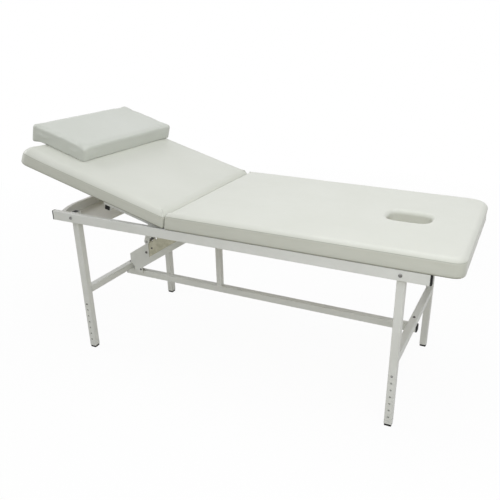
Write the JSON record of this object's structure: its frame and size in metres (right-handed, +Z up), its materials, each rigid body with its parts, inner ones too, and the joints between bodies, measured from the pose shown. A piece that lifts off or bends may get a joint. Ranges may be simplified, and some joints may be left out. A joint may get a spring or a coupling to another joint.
{
  "type": "massage table",
  "caption": "Padded massage table with a face hole, a loose pillow, a backrest tilted on a prop over a notched rack, and a square-tube frame with telescopic legs",
  "frame": {"origin": "on the floor, under the middle of the overall box at rest", "axes": "+X points from the pillow end to the face-hole end, +Y from the near side to the far side of the picture, +Z up"},
  "size_m": [1.8332, 0.71, 0.9735],
  "materials": {
    "cushion_cover": "smooth pale grey-white vinyl, satin",
    "pillow_cover": "smooth pale grey-white vinyl, satin",
    "frame_paint": "light grey powder coat, satin",
    "board": "plain plywood",
    "black_plastic": "moulded black plastic",
    "rubber": "moulded black rubber",
    "dark_steel": "blackened steel",
    "yellow_zinc": "yellow-passivated zinc plate, dull and mottled",
    "bright_steel": "zinc-plated steel"
  },
  "bodies": {
    "frame": {"centre_post": "frame_paint", "foot_cross_tube": "frame_paint", "head_bow": "frame_paint", "head_panel": "frame_paint", "hinge_cross_tube": "frame_paint", "hinge_lugs": "frame_paint", "hinge_pins": "bright_steel", "leg_bolts": "bright_steel", "leg_cross_tube_foot": "frame_paint", "leg_cross_tube_head": "frame_paint", "leg_top_plugs": "black_plastic", "leg_tube_far_foot": "frame_paint", "leg_tube_far_head": "frame_paint", "leg_tube_near_foot": "frame_paint", "leg_tube_near_head": "frame_paint", "main_board": "board", "main_cushion": "cushion_cover", "middle_cross_tube": "frame_paint", "rack_bolts": "dark_steel", "rack_plate_far": "yellow_zinc", "rack_plate_near": "yellow_zinc", "rack_spacers": "bright_steel", "rack_stiffener": "frame_paint", "rail_end_caps": "black_plastic", "rail_far": "frame_paint", "rail_near": "frame_paint", "stretcher": "frame_paint", "stretcher_bolts": "dark_steel", "stretcher_caps": "black_plastic"},
    "backrest": {"backrest_board": "board", "backrest_cross_plugs": "black_plastic", "backrest_cross_tube": "frame_paint", "backrest_cushion": "cushion_cover", "backrest_rail_far": "frame_paint", "backrest_rail_near": "frame_paint", "hinge_forks": "frame_paint", "prop_ears": "frame_paint", "prop_pin": "bright_steel"},
    "prop": {"prop_arm_far": "frame_paint", "prop_arm_near": "frame_paint", "prop_brace": "frame_paint", "prop_foot_bar": "bright_steel"},
    "pillow": {"pillow": "pillow_cover"},
    "leg_near_head": {"inner_leg_near_head": "frame_paint", "foot_near_head": "rubber", "leg_clip_near_head": "bright_steel"},
    "button_near_head": {"leg_button_near_head": "bright_steel"},
    "leg_near_foot": {"inner_leg_near_foot": "frame_paint", "foot_near_foot": "rubber", "leg_clip_near_foot": "bright_steel"},
    "button_near_foot": {"leg_button_near_foot": "bright_steel"},
    "leg_far_head": {"inner_leg_far_head": "frame_paint", "foot_far_head": "rubber", "leg_clip_far_head": "bright_steel"},
    "button_far_head": {"leg_button_far_head": "bright_steel"},
    "leg_far_foot": {"inner_leg_far_foot": "frame_paint", "foot_far_foot": "rubber", "leg_clip_far_foot": "bright_steel"},
    "button_far_foot": {"leg_button_far_foot": "bright_steel"}
  },
  "joints": [
    {"name": "backrest_tilt", "type": "hinge", "parent": "frame", "child": "backrest", "pos_m": [-0.20393, 0, 0.654], "axis": [0, 1, 0], "range_deg": [-15, 25]},
    {"name": "prop_swing", "type": "hinge", "parent": "backrest", "child": "prop", "pos_m": [-0.4577, 0, 0.67282], "axis": [0, 1, 0], "range_deg": [-50, 30]},
    {"name": "pillow_lift", "type": "slide", "parent": "backrest", "child": "pillow", "axis": [0.2588, 0, 0.9659], "range_m": [0, 0.1]},
    {"name": "leg_slide_near_head", "type": "slide", "parent": "frame", "child": "leg_near_head", "axis": [0, 0, -1], "range_m": [0, 0.18]},
    {"name": "button_press_near_head", "type": "slide", "parent": "leg_near_head", "child": "button_near_head", "axis": [0, 1, 0], "range_m": [0, 0.0053], "stiffness_N_per_m": 800, "springref_m": -0.002},
    {"name": "leg_slide_near_foot", "type": "slide", "parent": "frame", "child": "leg_near_foot", "axis": [0, 0, -1], "range_m": [0, 0.18]},
    {"name": "button_press_near_foot", "type": "slide", "parent": "leg_near_foot", "child": "button_near_foot", "axis": [0, 1, 0], "range_m": [0, 0.0053], "stiffness_N_per_m": 800, "springref_m": -0.002},
    {"name": "leg_slide_far_head", "type": "slide", "parent": "frame", "child": "leg_far_head", "axis": [0, 0, -1], "range_m": [0, 0.18]},
    {"name": "button_press_far_head", "type": "slide", "parent": "leg_far_head", "child": "button_far_head", "axis": [0, -1, 0], "range_m": [0, 0.0053], "stiffness_N_per_m": 800, "springref_m": -0.002},
    {"name": "leg_slide_far_foot", "type": "slide", "parent": "frame", "child": "leg_far_foot", "axis": [0, 0, -1], "range_m": [0, 0.18]},
    {"name": "button_press_far_foot", "type": "slide", "parent": "leg_far_foot", "child": "button_far_foot", "axis": [0, -1, 0], "range_m": [0, 0.0053], "stiffness_N_per_m": 800, "springref_m": -0.002}
  ],
  "couplings": [
    {"joint": "prop_swing", "follows": "backrest_tilt", "ratio": -2}
  ]
}
